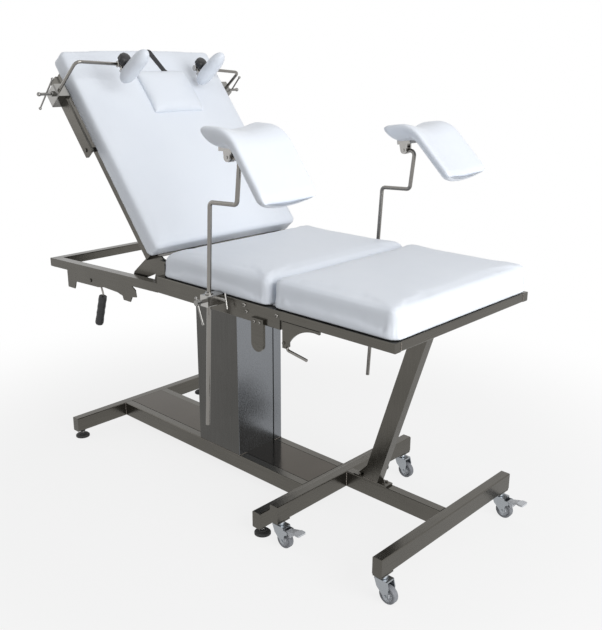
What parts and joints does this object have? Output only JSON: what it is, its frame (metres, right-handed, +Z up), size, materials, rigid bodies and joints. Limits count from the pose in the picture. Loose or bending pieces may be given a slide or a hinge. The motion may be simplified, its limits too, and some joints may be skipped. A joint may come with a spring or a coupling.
{
  "type": "obstetric delivery table",
  "caption": "Steel-framed obstetric delivery table with a raised backrest, leg rests on bent rods, shoulder rests and a wheeled foot section that pulls away.",
  "frame": {"origin": "on the floor, below the centre of the whole object's box", "axes": "+X towards the foot end, +Y to the patient's left when lying down (far side in the picture), +Z up"},
  "size_m": [1.517, 0.8702, 1.3291],
  "materials": {
    "white_vinyl": "smooth white coated upholstery with a soft sheen",
    "brushed_tube": "satin-brushed stainless steel",
    "mirror_plate": "polished stainless sheet",
    "polished_rod": "polished stainless round bar and small fittings",
    "black_plastic": "black moulded plastic",
    "grey_plastic": "pale grey moulded pedal",
    "grey_wheel": "grey caster tread",
    "black_strap": "black woven elastic",
    "black_paint": "black satin paint"
  },
  "bodies": {
    "table_base": {"base_tubes": "brushed_tube", "base_plate": "mirror_plate", "column_shell": "brushed_tube", "column_front_panel": "brushed_tube", "seat_frame_tubes": "brushed_tube", "head_frame_tubes": "brushed_tube", "seat_cushion": "white_vinyl", "hinge_brackets": "brushed_tube", "lever_bracket": "brushed_tube", "leg_clamps": "brushed_tube", "dock_tongues": "brushed_tube", "rail_bolts": "polished_rod"},
    "backrest": {"backrest_frame_tubes": "brushed_tube", "backrest_hinge_arms": "brushed_tube", "backrest_cushion": "white_vinyl", "accessory_rails": "brushed_tube", "pillow": "white_vinyl", "pillow_strap": "black_strap"},
    "release_lever": {"release_lever": "polished_rod", "release_grip": "black_plastic"},
    "gas_cylinder": {"gas_cylinder": "black_paint"},
    "gas_rod": {"gas_rod": "polished_rod"},
    "foot_section": {"trolley_tubes": "brushed_tube", "trolley_post": "brushed_tube", "foot_frame_tubes": "brushed_tube", "foot_gussets": "brushed_tube", "foot_cushion": "white_vinyl"},
    "foot_latch": {"foot_latch": "polished_rod"},
    "leveller_near_rear": {"leveller_near_rear": "black_plastic"},
    "leveller_far_rear": {"leveller_far_rear": "black_plastic"},
    "leveller_near_front": {"leveller_near_front": "black_plastic"},
    "leveller_far_front": {"leveller_far_front": "black_plastic"},
    "near_shoulder_slider": {"near_shoulder_clamp": "polished_rod"},
    "near_shoulder_arm": {"near_shoulder_rod": "polished_rod"},
    "near_shoulder_rest": {"near_shoulder_pad": "white_vinyl", "near_shoulder_knob": "black_plastic"},
    "far_shoulder_slider": {"far_shoulder_clamp": "polished_rod"},
    "far_shoulder_arm": {"far_shoulder_rod": "polished_rod"},
    "far_shoulder_rest": {"far_shoulder_pad": "white_vinyl", "far_shoulder_knob": "black_plastic"},
    "near_rod_bush": {"near_rod_bush": "polished_rod"},
    "near_leg_post": {"near_leg_rod": "polished_rod"},
    "near_leg_rest": {"near_leg_bracket": "polished_rod", "near_leg_pad": "white_vinyl"},
    "near_clamp_handle": {"near_clamp_handle": "polished_rod"},
    "far_rod_bush": {"far_rod_bush": "polished_rod"},
    "far_leg_post": {"far_leg_rod": "polished_rod"},
    "far_leg_rest": {"far_leg_bracket": "polished_rod", "far_leg_pad": "white_vinyl"},
    "far_clamp_handle": {"far_clamp_handle": "polished_rod"},
    "caster_near_rear": {"caster_fork_near_rear": "polished_rod"},
    "wheel_near_rear": {"caster_wheel_near_rear": "grey_wheel"},
    "brake_near_rear": {"brake_pedal_near_rear": "grey_plastic"},
    "caster_far_rear": {"caster_fork_far_rear": "polished_rod"},
    "wheel_far_rear": {"caster_wheel_far_rear": "grey_wheel"},
    "caster_near_front": {"caster_fork_near_front": "polished_rod"},
    "wheel_near_front": {"caster_wheel_near_front": "grey_wheel"},
    "caster_far_front": {"caster_fork_far_front": "polished_rod"},
    "wheel_far_front": {"caster_wheel_far_front": "grey_wheel"},
    "brake_far_front": {"brake_pedal_far_front": "grey_plastic"}
  },
  "joints": [
    {"name": "leveller_near_rear_screw", "type": "slide", "parent": "table_base", "child": "leveller_near_rear", "axis": [0, 0, -1], "range_m": [0, 0.012]},
    {"name": "leveller_far_rear_screw", "type": "slide", "parent": "table_base", "child": "leveller_far_rear", "axis": [0, 0, -1], "range_m": [0, 0.012]},
    {"name": "leveller_near_front_screw", "type": "slide", "parent": "table_base", "child": "leveller_near_front", "axis": [0, 0, -1], "range_m": [0, 0.012]},
    {"name": "leveller_far_front_screw", "type": "slide", "parent": "table_base", "child": "leveller_far_front", "axis": [0, 0, -1], "range_m": [0, 0.012]},
    {"name": "backrest_hinge", "type": "hinge", "parent": "table_base", "child": "backrest", "pos_m": [-0.1832, 0, 0.7118], "axis": [0, 1, 0], "range_deg": [-51.2, 18.8]},
    {"name": "release_lever_pivot", "type": "hinge", "parent": "table_base", "child": "release_lever", "pos_m": [-0.52, -0.291, 0.612], "axis": [0, 1, 0], "range_deg": [-14, 18], "stiffness_Nm_per_rad": 1.5},
    {"name": "gas_cylinder_pivot", "type": "hinge", "parent": "table_base", "child": "gas_cylinder", "pos_m": [-0.268, 0, 0.524], "axis": [0, 1, 0], "range_deg": [-38.5, 14.5]},
    {"name": "gas_rod_slide", "type": "slide", "parent": "gas_cylinder", "child": "gas_rod", "axis": [-0.3884, 0, 0.9215], "range_m": [-0.157, 0.058]},
    {"name": "near_shoulder_slide", "type": "slide", "parent": "backrest", "child": "near_shoulder_slider", "axis": [0.6266, 0, -0.7793], "range_m": [-0.03, 0.15]},
    {"name": "near_shoulder_swing", "type": "hinge", "parent": "near_shoulder_slider", "child": "near_shoulder_arm", "pos_m": [-0.52758, -0.334, 1.22789], "axis": [0.7793, 0, 0.6266], "range_deg": [-75, 0]},
    {"name": "near_shoulder_reach", "type": "slide", "parent": "near_shoulder_arm", "child": "near_shoulder_rest", "axis": [-0.0459, -0.9973, 0.0571], "range_m": [-0.012, 0.11]},
    {"name": "far_shoulder_slide", "type": "slide", "parent": "backrest", "child": "far_shoulder_slider", "axis": [0.6266, 0, -0.7793], "range_m": [-0.03, 0.15]},
    {"name": "far_shoulder_swing", "type": "hinge", "parent": "far_shoulder_slider", "child": "far_shoulder_arm", "pos_m": [-0.52256, 0.334, 1.22166], "axis": [0.7793, 0, 0.6266], "range_deg": [0, 75]},
    {"name": "far_shoulder_reach", "type": "slide", "parent": "far_shoulder_arm", "child": "far_shoulder_rest", "axis": [0.0688, 0.994, -0.0855], "range_m": [-0.008, 0.11]},
    {"name": "near_leg_swing", "type": "hinge", "parent": "table_base", "child": "near_rod_bush", "pos_m": [0.107, -0.335, 0.681], "axis": [0.0576, 0, 0.9983], "range_deg": [-60, 25]},
    {"name": "near_leg_height", "type": "slide", "parent": "near_rod_bush", "child": "near_leg_post", "axis": [0.0576, 0, 0.9983], "range_m": [-0.1, 0.2]},
    {"name": "near_leg_tilt", "type": "hinge", "parent": "near_leg_post", "child": "near_leg_rest", "pos_m": [0.205, -0.335, 1.066], "axis": [0, 1, 0], "range_deg": [-20, 25]},
    {"name": "near_clamp_screw", "type": "hinge", "parent": "table_base", "child": "near_clamp_handle", "pos_m": [0.107, -0.4, 0.681], "axis": [0, 1, 0], "range_deg": [-60, 60]},
    {"name": "far_leg_swing", "type": "hinge", "parent": "table_base", "child": "far_rod_bush", "pos_m": [0.146, 0.335, 0.681], "axis": [0.0576, 0, 0.9983], "range_deg": [-25, 60]},
    {"name": "far_leg_height", "type": "slide", "parent": "far_rod_bush", "child": "far_leg_post", "axis": [0.0576, 0, 0.9983], "range_m": [-0.1, 0.2]},
    {"name": "far_leg_tilt", "type": "hinge", "parent": "far_leg_post", "child": "far_leg_rest", "pos_m": [0.244, 0.335, 1.036], "axis": [0, 1, 0], "range_deg": [-20, 25]},
    {"name": "far_clamp_screw", "type": "hinge", "parent": "table_base", "child": "far_clamp_handle", "pos_m": [0.146, 0.4, 0.681], "axis": [0, -1, 0], "range_deg": [-60, 60]},
    {"name": "foot_section_slide", "type": "slide", "parent": "table_base", "child": "foot_section", "axis": [1, 0, 0], "range_m": [0, 0.6]},
    {"name": "foot_latch_turn", "type": "hinge", "parent": "foot_section", "child": "foot_latch", "pos_m": [0.3545, -0.29, 0.64], "axis": [0, 0, 1], "range_deg": [-80, 30]},
    {"name": "caster_near_rear_swivel", "type": "hinge", "parent": "foot_section", "child": "caster_near_rear", "pos_m": [0.316, -0.28, 0.075], "axis": [0, 0, 1], "range_deg": [-120, 120]},
    {"name": "wheel_near_rear_roll", "type": "hinge", "parent": "caster_near_rear", "child": "wheel_near_rear", "pos_m": [0.336, -0.28, 0.025], "axis": [0, 1, 0], "continuous": true},
    {"name": "brake_near_rear_press", "type": "hinge", "parent": "caster_near_rear", "child": "brake_near_rear", "pos_m": [0.35, -0.28, 0.054], "axis": [0, 1, 0], "range_deg": [-3, 5]},
    {"name": "caster_far_rear_swivel", "type": "hinge", "parent": "foot_section", "child": "caster_far_rear", "pos_m": [0.316, 0.28, 0.075], "axis": [0, 0, 1], "continuous": true},
    {"name": "wheel_far_rear_roll", "type": "hinge", "parent": "caster_far_rear", "child": "wheel_far_rear", "pos_m": [0.336, 0.28, 0.025], "axis": [0, 1, 0], "continuous": true},
    {"name": "caster_near_front_swivel", "type": "hinge", "parent": "foot_section", "child": "caster_near_front", "pos_m": [0.675, -0.28, 0.075], "axis": [0, 0, 1], "continuous": true},
    {"name": "wheel_near_front_roll", "type": "hinge", "parent": "caster_near_front", "child": "wheel_near_front", "pos_m": [0.695, -0.28, 0.025], "axis": [0, 1, 0], "continuous": true},
    {"name": "caster_far_front_swivel", "type": "hinge", "parent": "foot_section", "child": "caster_far_front", "pos_m": [0.675, 0.28, 0.075], "axis": [0, 0, 1], "continuous": true},
    {"name": "wheel_far_front_roll", "type": "hinge", "parent": "caster_far_front", "child": "wheel_far_front", "pos_m": [0.695, 0.28, 0.025], "axis": [0, 1, 0], "continuous": true},
    {"name": "brake_far_front_press", "type": "hinge", "parent": "caster_far_front", "child": "brake_far_front", "pos_m": [0.709, 0.28, 0.054], "axis": [0, 1, 0], "range_deg": [-3, 5]}
  ],
  "couplings": [
    {"joint": "gas_cylinder_pivot", "follows": "backrest_hinge", "ratio": 0.74},
    {"joint": "gas_rod_slide", "follows": "backrest_hinge", "m_per_rad": 0.174}
  ]
}
